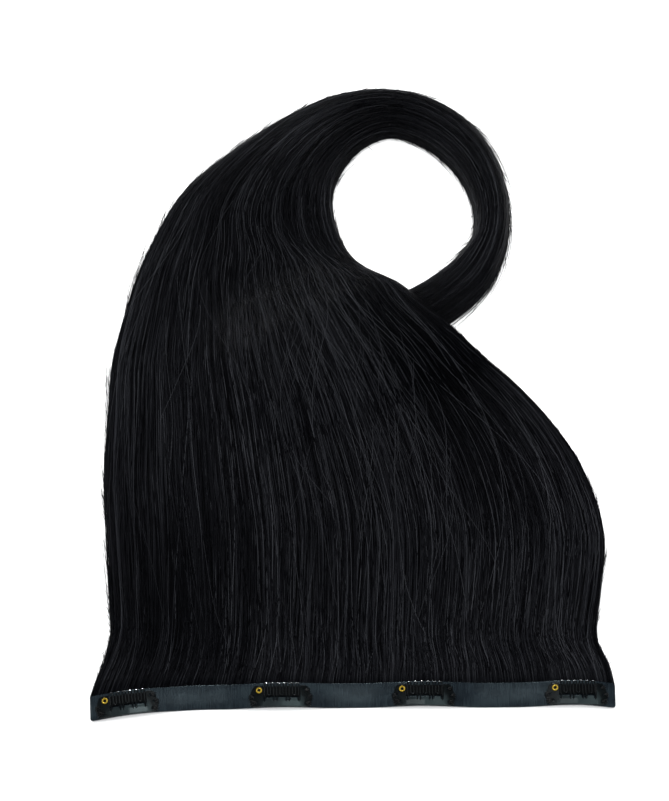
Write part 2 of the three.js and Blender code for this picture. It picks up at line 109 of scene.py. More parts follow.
camera_data = bpy.data.cameras.new("camera")
camera_data.lens = LENS_MM
camera = bpy.data.objects.new("camera", camera_data)
back = Vector((0, -math.cos(LOOK_DOWN), math.sin(LOOK_DOWN)))
camera.location = LOOK_AT + back * CAMERA_DISTANCE
camera.rotation_euler = back.to_track_quat("Z", "Y").to_euler()
scene.collection.objects.link(camera)
scene.camera = camera

# The weft band: a strip of soft dark plastic, pressed from two layers with the hair roots between them.
# It lies on the table with a low hump under each clip, and its glossy face shows the roots as fine ridges.
MM = 0.001
BAND_LENGTH = 266
BAND_HEIGHT = 13
BAND_THICKNESS = 1
BAND_CORNER = 1.2
BAND_EDGE = 0.3
HUMP_HEIGHT = 3
HUMP_LENGTH = 62
BAND_STATIONS = 420
ROOTS_SHARE, CLOUDS_SHARE = 0.55, 0.45
SWAY_PLACES = (-0.5, -0.43, -0.36, -0.29, -0.14, 0, 0.27, 0.43, 0.5)
SWAY_SHARES = (-0.58, -0.37, -0.18, -0.08, -0.05, 0, 0.02, 0.05, -0.02)
CLIP_PLACES = (-0.43, -0.138, 0.1345, 0.426)
CLIP_X = [share * BAND_LENGTH for share in CLIP_PLACES]


def smooth(t):
    """t held between 0 and 1, times itself, times three less twice itself: a step with soft ends."""
    t = np.clip(t, 0, 1)
    return t * t * (3 - 2 * t)


def sway_at(x):
    """The band's middle line in plan: a cubic through the sway table, sloped by its neighbours."""
    places, shares = np.array(SWAY_PLACES), np.array(SWAY_SHARES)
    along = np.asarray(x, float) / BAND_LENGTH
    k = np.clip(np.searchsorted(places, along, side="left") - 1, 0, len(places) - 2)
    before, after = np.maximum(k - 1, 0), np.minimum(k + 2, len(places) - 1)
    step = places[k + 1] - places[k]
    t = np.clip((along - places[k]) / step, 0, 1)
    slope_in = (shares[k + 1] - shares[before]) / (places[k + 1] - places[before]) * step
    slope_out = (shares[after] - shares[k]) / (places[after] - places[k]) * step
    value = (
        (2 * t**3 - 3 * t**2 + 1) * shares[k] + (t**3 - 2 * t**2 + t) * slope_in
        + (3 * t**2 - 2 * t**3) * shares[k + 1] + (t**3 - t**2) * slope_out
    )
    return BAND_HEIGHT * value


def rise_at(x):
    """The band's height above the table: one squared cosine hump under each clip."""
    away = np.minimum(np.abs(np.asarray(x, float)[..., None] - np.array(CLIP_X)) / HUMP_LENGTH, 0.5)
    return (HUMP_HEIGHT * np.cos(np.pi * away) ** 2).sum(-1)


def band_point(x, up, z):
    """Points on the band: x along it, up from its middle line towards the hair, z above its back."""
    heading = np.arctan2(sway_at(x + 0.5) - sway_at(x - 0.5), 1)
    return np.stack(np.broadcast_arrays(
        x - np.sin(heading) * up, sway_at(x) + np.cos(heading) * up, rise_at(x) + z), -1)


def make_piece(name, points, faces, material, uv=None):
    """A smooth mesh object: points in millimetres, a list of face arrays, and a UV for each point."""
    corners = np.concatenate([f.ravel() for f in faces]).astype(np.int32)
    sizes = np.concatenate([np.full(len(f), f.shape[1], np.int32) for f in faces])
    mesh = bpy.data.meshes.new(name)
    mesh.vertices.add(len(points))
    mesh.vertices.foreach_set("co", (np.asarray(points) * MM).astype(np.float32).ravel())
    mesh.loops.add(len(corners))
    mesh.loops.foreach_set("vertex_index", corners)
    mesh.polygons.add(len(sizes))
    mesh.polygons.foreach_set("loop_start", (np.cumsum(sizes) - sizes).astype(np.int32))
    mesh.polygons.foreach_set("use_smooth", np.ones(len(sizes), bool))
    if uv is not None:
        layer = mesh.uv_layers.new(name="UVMap")
        layer.data.foreach_set("uv", np.asarray(uv, np.float32)[corners].ravel())
    mesh.update()
    mesh.validate()
    mesh.materials.append(material)
    piece = bpy.data.objects.new(name, mesh)
    scene.collection.objects.link(piece)
    return piece


def tube_faces(lines, steps, sides):
    """Quads round each line, and fans over both ends, for rings of points in line, step, side order."""
    start = (np.arange(lines) * steps * sides)[:, None, None]
    ring = (np.arange(steps - 1) * sides)[None, :, None]
    k = np.arange(sides)[None, None, :]
    after = (k + 1) % sides
    low = start + ring
    quads = np.stack([low + k, low + after, low + sides + after, low + sides + k], -1).reshape(-1, 4)
    fan = np.arange(1, sides - 1)[None, :]
    first = start[:, :, 0]
    last = first + (steps - 1) * sides
    caps = np.concatenate([
        np.stack(np.broadcast_arrays(first, first + fan + 1, first + fan), -1).reshape(-1, 3),
        np.stack(np.broadcast_arrays(last, last + fan, last + fan + 1), -1).reshape(-1, 3),
    ])
    return [quads, caps]


def texture_node(tree, kind, **values):
    """A new shader node of the given kind with its sockets set to the given values."""
    node = tree.nodes.new("ShaderNode" + kind)
    for socket, value in values.items():
        node.inputs[socket.replace("_", " ")].default_value = value
    return node


def streaks(material, stretch, scale, detail=3.0):
    """Noise read from the piece's UV, stretched by the given factors: its height socket."""
    tree = material.node_tree
    place = texture_node(tree, "UVMap")
    mapping = texture_node(tree, "Mapping", Scale=(*stretch, 1))
    noise = texture_node(tree, "TexNoise", Scale=scale, Detail=detail, Roughness=0.6)
    tree.links.new(place.outputs["UV"], mapping.inputs["Vector"])
    tree.links.new(mapping.outputs["Vector"], noise.inputs["Vector"])
    return noise.outputs["Fac"]


def ramp(material, height, stops):
    """A colour ramp over a height, from (place, colour) stops."""
    tree = material.node_tree
    node = tree.nodes.new("ShaderNodeValToRGB")
    while len(node.color_ramp.elements) < len(stops):
        node.color_ramp.elements.new(0.5)
    for element, (place, colour) in zip(node.color_ramp.elements, stops):
        element.position = place
        element.color = (*colour, 1)
    tree.links.new(height, node.inputs["Fac"])
    return node.outputs["Color"]


def tone_by(material, principled, height, stops, socket="Base Color"):
    """Sets the shader's colour, or another socket of it, by a height through a ramp of stops."""
    material.node_tree.links.new(ramp(material, height, stops), principled.inputs[socket])


def scaled(material, height, factor, added=None):
    """A height times a factor, plus a second height where there is one."""
    tree = material.node_tree
    node = texture_node(tree, "Math")
    node.operation = "MULTIPLY_ADD"
    node.inputs[1].default_value = factor
    node.inputs[2].default_value = 0
    tree.links.new(height, node.inputs[0])
    if added is not None:
        tree.links.new(added, node.inputs[2])
    return node.outputs[0]


def relief(material, principled, height, strength, depth_mm):
    """Bumps the surface by a height, at most the given depth."""
    tree = material.node_tree
    node = texture_node(tree, "Bump", Strength=strength, Distance=depth_mm * MM)
    tree.links.new(height, node.inputs["Height"])
    tree.links.new(node.outputs["Normal"], principled.inputs["Normal"])


half = BAND_LENGTH / 2
round_end = half - BAND_CORNER * (1 - np.sin(np.linspace(0, np.pi / 2, 7)))
middle = np.linspace(-half + BAND_CORNER, half - BAND_CORNER, BAND_STATIONS)
x = np.concatenate([-round_end[::-1], middle[1:-1], round_end])[:, None]
from_end = np.minimum(BAND_CORNER, half - np.abs(x))
inset = BAND_CORNER - np.sqrt(np.maximum(BAND_CORNER**2 - (BAND_CORNER - from_end) ** 2, 0))
turn = np.linspace(0, np.pi / 2, 4)
edge_up = np.concatenate([np.cos(turn), -np.sin(turn), -np.cos(turn), np.sin(turn)])
edge_z = np.concatenate([np.sin(turn), np.cos(turn), -np.sin(turn), -np.cos(turn)])
side_up = np.repeat([1, -1, -1, 1], 4)
side_z = np.repeat([1, 1, -1, -1], 4)
up = side_up * (BAND_HEIGHT / 2 - inset - BAND_EDGE) + BAND_EDGE * edge_up
z = BAND_THICKNESS / 2 + side_z * (BAND_THICKNESS / 2 - BAND_EDGE) + BAND_EDGE * edge_z
band_points = band_point(x, up, z)
band_uv = np.stack(np.broadcast_arrays(x, up), -1) * MM

band_plastic, band_shader = shader(
    "band_plastic", Roughness=0.24, Specular_IOR_Level=0.34, Specular_Tint=(0.72, 0.93, 1.0, 1))
roots = streaks(band_plastic, (2600, 60), 1.0, 4.0)
clouds = streaks(band_plastic, (45, 90), 1.0, 2.0)
mixed = scaled(band_plastic, roots, ROOTS_SHARE, scaled(band_plastic, clouds, CLOUDS_SHARE))
tone_by(band_plastic, band_shader, mixed, [
    (0.36, (0.0014, 0.0022, 0.0035)), (0.5, (0.0050, 0.0075, 0.0105)), (0.66, (0.0125, 0.0185, 0.0215))])
relief(band_plastic, band_shader, roots, 0.42, 0.14)

band = make_piece(
    "band", band_points.reshape(-1, 3), tube_faces(1, len(x), 16), band_plastic, band_uv.reshape(-1, 2))
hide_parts("weft_band")
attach(band, "root")

# The hair: long straight black strands, laid side by side from the band, swept into a tail that goes
# round once and is tucked under itself. A dark body, coloured as painted shade, fills the CAD solid; loose
# strands cover all of it.
CURL_X, CURL_Y = 29.5, 283.5
HOLE_WIDTH, HOLE_HEIGHT = 79, 99
TAIL_WIDTH = 34
HAIR_DEPTH, TAIL_DEPTH, TUCKED_DEPTH = 8, 12, 7
ROOT_GAP, ROOT_DEPTH, ROOT_TUCK = 0.4, 1.3, 1.0
TABLE_CLEARANCE = 0.12
TUCK_CLEARANCE, TUCK_SHOULDER = 0.8, 34
EDGE_FULLNESS, SECTION_POWER, SECTION_ROOT, ROUNDED_ROWS = 0.3, 2.4, 0.6, 5
BAND_ROWS, BAND_THINNING = 0.5, 0.35
# Left x, left y, right x, right y of the fan, as shares of the band's length and the curl's distance; depth.
FAN = np.array([
    (-0.48, 0.05, 0.486, 0.06, 0.35),
    (-0.464, 0.112, 0.466, 0.107, 0.55),
    (-0.471, 0.195, 0.479, 0.195, 0.75),
    (-0.483, 0.317, 0.492, 0.313, 0.9),
    (-0.492, 0.427, 0.458, 0.442, 1),
    (-0.49, 0.545, 0.396, 0.545, 1),
    (-0.487, 0.664, 0.315, 0.636, 1),
    (-0.465, 0.773, 0.234, 0.705, 1),
    (-0.441, 0.866, 0.158, 0.769, 1.05),
])
# Turn round the hole in degrees, drift in hole radii, direction outwards, width in tail widths; depth.
CURL = np.array([
    (2, 0.038, 165, 4.16, 0.75),
    (45, -0.036, 157, 3.19, 0.85),
    (80, -0.006, 153, 2.37, 0.95),
    (106, 0.051, 146, 1.73, 1),
    (130, 0.049, 136, 1.33, 1),
    (149, 0.052, 120, 1.1, 1),
    (170, 0.046, 104, 0.93, 1),
    (191, -0.03, 84, 0.91, 0.98),
    (216, -0.08, 66, 0.88, 0.96),
    (243, -0.06, 52, 0.8, 0.95),
    (268, 0.002, 36, 0.67, 0.95),
    (287, 0.027, 16, 0.61, 0.92),
    (303, -0.036, -13, 0.67, 0.85),
    (322, -0.082, -36, 0.78, 0.72),
])
TUCKED = np.array([
    (356, 0, -48, 0.86, 1),
    (384, 0.32, -54, 0.9, 0.95),
    (398, 0.94, -52, 0.8, 0.8),
    (405, 1.67, -51, 0.55, 0.4),
])
ROWS = 1 + len(FAN) + len(CURL) + len(TUCKED)
LAST_ROW = ROWS - 1
CROSSING_ROW = len(FAN) + 3
random = np.random.default_rng(7)


def curl_ends(rows):
    """For rows round the hole: the point on the hole's edge, and the step from it to the outer edge."""
    angle = np.radians(-90 - rows[:, 0])
    away = 1 + rows[:, 1]
    edge = np.stack([
        CURL_X + HOLE_WIDTH / 2 * away * np.cos(angle), CURL_Y + HOLE_HEIGHT / 2 * away * np.sin(angle)], -1)
    toward = np.radians(rows[:, 2])
    return edge, (rows[:, 3] * TAIL_WIDTH)[:, None] * np.stack([np.cos(toward), np.sin(toward)], -1)


def row_points(v):
    """Every row's point for each v, 0 at the outer edge and 1 at the hole's: x, y and the hair's depth."""
    v = np.asarray(v, float)[:, None]
    root = band_point((v - 0.5) * (BAND_LENGTH - 2 * BAND_CORNER), BAND_HEIGHT / 2 + ROOT_GAP, 0.0)
    root[..., 2] = ROOT_DEPTH
    left, right = FAN[:, 0:2] * (BAND_LENGTH, CURL_Y), FAN[:, 2:4] * (BAND_LENGTH, CURL_Y)
    fan = left + (right - left) * v[:, :, None]
    fan_depth = np.broadcast_to(FAN[:, 4] * HAIR_DEPTH, fan.shape[:2])[..., None]
    turned = np.concatenate([CURL, TUCKED])
    edge, step = curl_ends(turned)
    curl = edge + step * (1 - v)[:, :, None]
    depth = np.concatenate([CURL[:, 4] * TAIL_DEPTH, TUCKED[:, 4] * TUCKED_DEPTH])
    curl_depth = np.broadcast_to(depth, curl.shape[:2])[..., None]
    return np.concatenate([
        root, np.concatenate([fan, fan_depth], -1), np.concatenate([curl, curl_depth], -1)], 1)


def flow(v, row):
    """The lines that strands follow: a centripetal Catmull-Rom curve through the rows, at (strand, step)
    rows. v may differ from step to step: each step lies on the curve of its own v."""
    v, row = np.broadcast_arrays(v, row)
    points = row_points(v.ravel())
    before_first = 2 * points[:, :1] - points[:, 1:2]
    after_last = 2 * points[:, -1:] - points[:, -2:-1]
    points = np.concatenate([before_first, points, after_last], 1)
    place = np.clip(row.ravel(), 0, LAST_ROW - 1e-9)
    k = place.astype(int)
    t = (place - k)[:, None]
    pick = np.arange(len(k))
    p0, p1, p2, p3 = (points[pick, k + n] for n in range(4))
    d0, d1, d2 = (np.sqrt(np.linalg.norm(b - a, axis=1))[:, None] for a, b in ((p0, p1), (p1, p2), (p2, p3)))
    s1 = ((p1 - p0) / d0 - (p2 - p0) / (d0 + d1) + (p2 - p1) / d1) * d1
    s2 = ((p2 - p1) / d1 - (p3 - p1) / (d1 + d2) + (p3 - p2) / d2) * d1
    curve = p1 + s1 * t + (3 * (p2 - p1) - 2 * s1 - s2) * t**2 + (2 * (p1 - p2) + s1 + s2) * t**3
    return curve.reshape(*v.shape, 3)


def underside(x, y, row):
    """The height of the hair's underside: the band's at the root, over the tucked tail, or the table's."""
    edge, step = curl_ends(np.concatenate([CURL[-1:], TUCKED]))
    line = edge + step / 2
    p = np.stack([x, y], -1)
    near = np.full(x.shape, np.inf)
    for a, b in zip(line[:-1], line[1:]):
        t = np.clip((p - a) @ (b - a) / ((b - a) @ (b - a)), 0, 1)
        near = np.minimum(near, np.linalg.norm(p - a - t[..., None] * (b - a), axis=-1))
    at_root = rise_at(x) * (1 - smooth(row / 2))
    over_fan = 1 - smooth((row - CROSSING_ROW) / 2)
    over_tail = 1 - smooth((near - TAIL_WIDTH / 2) / TUCK_SHOULDER)
    return at_root + (TUCKED_DEPTH + TUCK_CLEARANCE) * over_tail * over_fan


def fullness(v, row):
    """How full the hair is across its width: level at the root, rounded at both edges further on."""
    section = (1 - np.clip(np.abs(2 * v - 1), 0, 1) ** SECTION_POWER) ** SECTION_ROOT
    rounded = EDGE_FULLNESS + (1 - EDGE_FULLNESS) * section
    return 1 + (rounded - 1) * smooth(row / ROUNDED_ROWS)


def hair_points(v, row, lift):
    """Points in the hair: v across, row along, lift from the underside at 0 to the top at 1."""
    v, row, lift = np.broadcast_arrays(v, row, lift)
    at = flow(v, row)
    in_band = 1 - smooth(row / BAND_ROWS)
    depth = at[..., 2] * fullness(v, row) * (1 - BAND_THINNING * in_band)
    at[..., 2] = underside(at[..., 0], at[..., 1], row) + lift * depth
    at[..., 1] -= ROOT_TUCK * in_band
    return at


def strand_tubes(line, width, thick):
    """Closed three-sided tubes of given widths along (strand, step) lines: a ridge and a level base."""
    ahead = np.gradient(line, axis=1)
    ahead /= np.linalg.norm(ahead, axis=-1, keepdims=True) + 1e-12
    level = np.cross([0.0, 0.0, 1.0], ahead)
    level /= np.linalg.norm(level, axis=-1, keepdims=True) + 1e-12
    out = np.cross(ahead, level)
    angle = (np.pi / 2 + 2 * np.pi * np.arange(3) / 3)[:, None]
    across = level[:, :, None] * np.cos(angle) * (width / 2)[:, :, None, None]
    raised = out[:, :, None] * np.sin(angle) * (thick / 2)[:, :, None, None]
    return line[:, :, None] + across + raised


def strand_piece(name, line, width, tone, material):
    """One object for a bundle of strands: the UV holds each point's tone, and its way along the strand."""
    points = strand_tubes(line, width, width * STRAND_FLATNESS)
    count, steps = line.shape[:2]
    step = np.linalg.norm(np.diff(line, axis=1), axis=-1)
    along = np.concatenate([np.zeros((count, 1)), np.cumsum(step, 1)], 1) * MM
    uv = np.stack(np.broadcast_arrays(tone[:, :, None], along[:, :, None], points[..., 0])[:2], -1)
    piece = make_piece(name, points.reshape(-1, 3), tube_faces(count, steps, 3), material, uv.reshape(-1, 2))
    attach(piece, "root")
    return piece


def first_number(material):
    """The first number of the piece's UV, as a height."""
    tree = material.node_tree
    parts = texture_node(tree, "SeparateXYZ")
    tree.links.new(texture_node(tree, "UVMap").outputs["UV"], parts.inputs[0])
    return parts.outputs["X"]


# Each strand's tone, the first number of its UV, picks one of the blacks, and a fine grain runs along it.
STRAND_FLATNESS = 0.6
strand_black, strand_shader = shader("strand_black", Roughness=0.36, Specular_IOR_Level=0.045)
tone_by(strand_black, strand_shader, first_number(strand_black), [
    (0.0, (0.0007, 0.0008, 0.0012)), (0.3, (0.0018, 0.0019, 0.0026)), (0.6, (0.0052, 0.0055, 0.0069)),
    (0.85, (0.0130, 0.0138, 0.0166)), (1.0, (0.0290, 0.0305, 0.0350))])
relief(strand_black, strand_shader, streaks(strand_black, (900, 120), 1.0), 0.25, 0.05)

# The inner hair: the bulk of the strands, coloured darker than most of them as painted shade, which shows
# only as dark between the top ones. It is one closed form inside the CAD solid, a flat section carried along
# the flow of the strands.
BODY_ACROSS, BODY_STEPS, BODY_TOP, BODY_BOTTOM, BODY_INSET = 70, 150, 0.79, 0.03, 0.012
v_top = np.linspace(BODY_INSET, 1 - BODY_INSET, BODY_ACROSS)
v_ring = np.concatenate([v_top, v_top[::-1]])
lift_ring = np.concatenate([np.full(BODY_ACROSS, BODY_BOTTOM), np.full(BODY_ACROSS, BODY_TOP)])
body_rows = np.linspace(0.02, LAST_ROW - 0.35, BODY_STEPS)
k = np.arange(BODY_ACROSS - 1)
body_end = (BODY_STEPS - 1) * 2 * BODY_ACROSS
body_caps = np.stack([k, 2 * BODY_ACROSS - 1 - k, 2 * BODY_ACROSS - 2 - k, k + 1], -1)
body_faces = [tube_faces(1, BODY_STEPS, 2 * BODY_ACROSS)[0], body_caps, body_end + body_caps[:, ::-1]]
body_line = hair_points(v_ring[None, :], body_rows[:, None], lift_ring[None, :])
body_uv = np.stack(np.broadcast_arrays(v_ring[None, :] * 0.2, body_rows[:, None] * 0.025), -1)
shaded_body_black, body_shader = shader("shaded_body_black", Roughness=0.6, Specular_IOR_Level=0.04)
grain = streaks(shaded_body_black, (2400, 14), 1.0, 4.0)
# Painted shade: the body's colours are darker than the strands', for the depth of the hair.
tone_by(shaded_body_black, body_shader, grain, [(0.3, (0.0007, 0.0007, 0.0009)), (0.7, (0.0018, 0.0020, 0.0026))])
relief(shaded_body_black, body_shader, grain, 0.6, 0.25)
hair_body = make_piece(
    "hair_body", body_line.reshape(-1, 3), body_faces, shaded_body_black, body_uv.reshape(-1, 2))
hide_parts("hair")
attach(hair_body, "root")

# The top strands: straight synthetic fibres, which drift together and part again in clumps of many widths.
# A clump row holds its count across the hair, its drift per row, its start and its strength.
CLUMPS = np.array([
    (7, 0.35, 0.4, 0.22),
    (17, -0.5, 2.1, 0.26),
    (31, 0.9, 4.0, 0.3),
    (58, -1.3, 5.2, 0.28),
    (97, 1.9, 1.1, 0.25),
])


def clump(v, row):
    """The sideways drift of strands at v, and the height of the clump that they lie in, each as waves."""
    wave = 2 * np.pi * CLUMPS[:, 0] * v[..., None] + CLUMPS[:, 1] * row[..., None] + CLUMPS[:, 2]
    fade = 0.5 + 0.5 * np.sin(0.7 * CLUMPS[:, 1] * row[..., None] + 3 * CLUMPS[:, 2])
    drift = (np.sin(wave) * fade * CLUMPS[:, 3] / (2 * np.pi * CLUMPS[:, 0])).sum(-1)
    height = (np.cos(wave) * fade * CLUMPS[:, 3]).sum(-1)
    return drift, height


# Painted shade where the hair lies deeper, and painted light where it catches more light: a spot's x and y,
# its reach, and its change of tone.
LIGHT_AND_SHADE_SPOTS = np.array([
    (-95, 50, 48, -0.24),
    (-47, 265, 44, -0.3),
    (14, 334, 32, -0.32),
    (29, 212, 26, -0.6),
    (56, 180, 28, -0.55),
    (66, 138, 38, -0.2),
    (64, 290, 26, -0.08),
    (92, 55, 42, 0.06),
])


def painted_light_and_shade(line):
    """The painted light and shade at points of the hair: each spot's change of tone, fading out over its
    reach.
    """
    away = np.linalg.norm(line[..., None, :2] - LIGHT_AND_SHADE_SPOTS[:, :2], axis=-1) / LIGHT_AND_SHADE_SPOTS[:, 2]
    return (LIGHT_AND_SHADE_SPOTS[:, 3] * np.exp(-away**2)).sum(-1)


FREE_ROW, DRIFT_ROWS, TIP_ROWS, EDGE_OVERLAP = 0.5, 2.5, 1.5, 0.004
EMERGE_SHARE, DIVE_SHARE, SINK, CLUMP_LIFT = 0.12, 0.14, 0.5, 0.05


def strand_lines(v, first_row, last_row, steps, lift, wander):
    """Lines of strands between two rows each, and the heights of the clumps that they lie in, which give the
    tone painted light on the clumps' tops and painted shade between them. A strand comes up from the mass at
    its start and goes down into it at its end, and wanders sideways across its neighbours."""
    count = len(v)
    share = np.linspace(0, 1, steps)[None, :]
    row = first_row[:, None] + (last_row - first_row)[:, None] * share
    drift, height = clump(np.broadcast_to(v[:, None], row.shape), row)
    pace, phase = random.uniform(0.35, 1.1, (count, 1)), random.uniform(0, 2 * np.pi, (count, 1))
    own = wander[:, None] * (np.sin(row * pace + phase) - np.sin(phase))
    at = np.clip(v[:, None] + (drift + own) * smooth(row / DRIFT_ROWS), -EDGE_OVERLAP, 1 + EDGE_OVERLAP)
    emerge = np.where(first_row[:, None] > FREE_ROW, 1 - smooth(share / EMERGE_SHARE), 0)
    dive = smooth((share - (1 - DIVE_SHARE)) / DIVE_SHARE)
    dive = np.where(last_row[:, None] < LAST_ROW - TIP_ROWS, dive, 0)
    up = lift[:, None] + CLUMP_LIFT * height - SINK * (emerge + dive)
    line = hair_points(at, row, up)
    line[..., 2] = np.maximum(line[..., 2], TABLE_CLEARANCE)
    return line, height


ROOT_WIDTH, ROOT_SHARE, TIP_WIDTH, TIP_SHARE = 0.6, 0.1, 0.1, 0.15


def tapered(width, steps):
    """A strand's width along it: a little finer at the root, and drawn out to a tip."""
    share = np.linspace(0, 1, steps)[None, :]
    at_root = ROOT_WIDTH + (1 - ROOT_WIDTH) * smooth(share / ROOT_SHARE)
    at_tip = TIP_WIDTH + (1 - TIP_WIDTH) * smooth((1 - share) / TIP_SHARE)
    return width[:, None] * at_root * at_tip


# CLUMP_SHADE is painted light on the clumps' tops and painted shade in the dips between them.
TONE, TONE_SPREAD, SHIMMER, CLUMP_SHADE = 0.44, 0.3, 0.16, 0.1
WANDERERS = (1, 1, 1, 3.5)


def lay_strands(name, count, steps, across, first, last, lift, width, wander):
    """Lays a bundle of strands over a stretch of the hair's width; pairs give the ends of random ranges."""
    v = across[0] + (across[1] - across[0]) * (np.arange(count) + random.uniform(0, 1, count)) / count
    line, height = strand_lines(
        v, random.uniform(*first, count), random.uniform(*last, count), steps,
        random.uniform(*lift, count), random.normal(0, wander, count) * random.choice(WANDERERS, count))
    own_tone = TONE + TONE_SPREAD * random.normal(0, 1, (count, 1))
    waves = np.arange(steps) * random.uniform(0.25, 1.3, (count, 1))
    shimmer = SHIMMER * np.sin(waves + 6 * random.random((count, 1)))
    # The tone holds painted light and shade: by the clumps' heights, and by the spots.
    tone = np.clip(own_tone + shimmer + CLUMP_SHADE * height + painted_light_and_shade(line), 0, 1)
    return strand_piece(name, line, tapered(random.uniform(*width, count), steps), tone, strand_black)


FINE, EDGE_WIDTH = (0.23, 0.48), (0.3, 0.5)
for side, across, last in (
        ("outer", (0.0, 0.36), (11, 20)), ("middle", (0.33, 0.68), (10, 18)),
        ("inner", (0.64, 1.0), (9.5, 17))):
    lay_strands(f"{side}_strands", 950, 32, across, (0, 0), last, (0.86, 1.0), FINE, 0.005)
lay_strands("tail_strands", 760, 40, (0.0, 1.0), (6, 10), (25.5, 27), (0.84, 1.0), (0.22, 0.44), 0.02)
for side, across in (("outer", (-0.004, 0.014)), ("hole", (0.988, 1.004))):
    lay_strands(f"{side}_edge_strands", 90, 56, across, (0, 0), (24, 27), (0.1, 0.95), EDGE_WIDTH, 0.002)

# Flyaways: single hairs that stand off the outline, mostly by a millimetre or two, and peel away at their
# tips. Some longer ones lie over the hair on their own course, and a few hang into the curl's open middle.
FLYAWAY_WIDTH = (0.16, 0.32)
FLYAWAY_BOW, FLYAWAY_CURL, FLYAWAY_SINK, FLYAWAY_TONE = 1.1, 0.25, 0.35, 0.4


def flyaways(name, count, steps, edge_v, rows, reach, off, rarity, side):
    """Hairs along one edge: each runs a few rows with it, bows off it, and peels away by up to `off` mm."""
    first = random.uniform(*rows, count)
    length = random.uniform(*reach, count)
    share = np.linspace(0, 1, steps)[None, :]
    row = np.clip(first[:, None] + length[:, None] * share, 0.3, LAST_ROW - 0.2)
    line = hair_points(np.full(row.shape, edge_v), row, random.uniform(0.3, 1.0, (count, 1)) + 0 * row)
    outward = line - hair_points(np.full(row.shape, edge_v + side * 0.02), row, 0.5 + 0 * row)
    outward[..., 2] = 0
    outward /= np.linalg.norm(outward, axis=-1, keepdims=True) + 1e-9
    bow = FLYAWAY_BOW * random.uniform(0, 1, (count, 1)) ** 2 * np.sin(np.pi * share)
    peel = off * random.uniform(0, 1, (count, 1)) ** rarity * share**2
    curl_wave = share * random.uniform(3, 12, (count, 1)) + random.uniform(0, 6, (count, 1))
    curl = FLYAWAY_CURL * np.sin(curl_wave)
    line = line + outward * (bow + peel + curl - FLYAWAY_SINK)[..., None]
    line[..., 2] = np.maximum(line[..., 2], TABLE_CLEARANCE)
    width = tapered(random.uniform(*FLYAWAY_WIDTH, count), steps)
    return strand_piece(name, line, width, np.full((count, steps), FLYAWAY_TONE), strand_black)


flyaways("outer_flyaways", 170, 16, 0.0, (0.2, 22), (1.2, 5), 7.0, 4, 1)
flyaways("inner_flyaways", 130, 16, 1.0, (0.2, 22), (1.0, 4), 5.0, 4, -1)
flyaways("outer_fuzz", 440, 7, 0.0, (0.3, 23), (0.3, 0.9), 4.2, 1.2, 1)
flyaways("inner_fuzz", 300, 7, 1.0, (0.3, 23), (0.3, 0.8), 3.6, 1.2, -1)

LONE_SPREAD, LONE_CLUSTER, LONE_STEPS = 85, 45, 22
LONE = LONE_SPREAD + LONE_CLUSTER
lone_v = np.concatenate([random.uniform(0.03, 0.97, LONE_SPREAD), random.normal(0.6, 0.09, LONE_CLUSTER)])
lone_first = np.concatenate([random.uniform(0.5, 9, LONE_SPREAD), random.uniform(1.5, 5, LONE_CLUSTER)])
lone_line, _ = strand_lines(
    lone_v, lone_first, lone_first + random.uniform(3, 9, LONE), LONE_STEPS,
    random.uniform(1.0, 1.04, LONE), random.normal(0, 0.04, LONE))
lone_width = tapered(random.uniform(0.16, 0.3, LONE), LONE_STEPS)
# Painted light: the lone strands are given light tones, for the light that they catch on top of the others.
lone_highlight = np.clip(random.normal(0.92, 0.1, (LONE, 1)), 0, 1) + np.zeros((LONE, LONE_STEPS))
strand_piece("lone_strands", lone_line, lone_width, lone_highlight, strand_black)

# Stray hairs: single hairs that have come loose in combing, and lie straight up over the slant of the
# others, a little above them. Their light tone is painted light, for the light that they catch there.
STRAYS, STRAY_STEPS, STRAY_LIFT, STRAY_HIGHLIGHT = 26, 12, 1.05, 0.95
stray_v, stray_first = random.uniform(0.35, 0.74, (STRAYS, 1)), random.uniform(4, 7, (STRAYS, 1))
stray_row = random.uniform(0.8, 2.2, (STRAYS, 1)) * np.linspace(0, 1, STRAY_STEPS)[None, :]
stray_sway = 0.004 * np.sin(stray_row * random.uniform(2, 6, (STRAYS, 1)))
stray_drift = random.uniform(0.015, 0.07, (STRAYS, 1)) * stray_row
stray_line = hair_points(stray_v + stray_drift + stray_sway, stray_first + stray_row, STRAY_LIFT)
stray_width = tapered(random.uniform(0.16, 0.26, STRAYS), STRAY_STEPS)
strand_piece("stray_hairs", stray_line, stray_width, np.full(stray_row.shape, STRAY_HIGHLIGHT), strand_black)

# Hole hairs: four single hairs that hang across the curl's open middle, from its edge down to the table.
# A row holds a hair's start x and y, its end x and y, and its sideways bow, in millimetres.
HANG_STEPS, HANG_HEIGHT, HANG_DROP, HANG_WIDTH, HANG_TONE = 14, 4.0, 2.5, 0.3, 0.4
HOLE_HAIRS = np.array([
    (8, 328, 30, 296, 2.5),
    (-8, 300, 4, 318, 1.5),
    (40, 236, 50, 243, 1.0),
    (-3, 262, 2, 281, -1.5),
])
share = np.linspace(0, 1, HANG_STEPS)[None, :, None]
hair_start, hair_end = HOLE_HAIRS[:, None, 0:2], HOLE_HAIRS[:, None, 2:4]
hair_aside = np.stack([hair_start[..., 1] - hair_end[..., 1], hair_end[..., 0] - hair_start[..., 0]], -1)
hair_aside = hair_aside / np.linalg.norm(hair_aside, axis=-1, keepdims=True)
hanging = hair_start + (hair_end - hair_start) * share
hanging = hanging + hair_aside * HOLE_HAIRS[:, None, 4:5] * np.sin(np.pi * share)
hanging = np.concatenate([hanging, HANG_HEIGHT - HANG_DROP * share + 0 * hanging[..., :1]], -1)
hanging_width = tapered(np.full(len(HOLE_HAIRS), HANG_WIDTH), HANG_STEPS)
strand_piece("hole_hairs", hanging, hanging_width, np.full(hanging.shape[:2], HANG_TONE), strand_black)

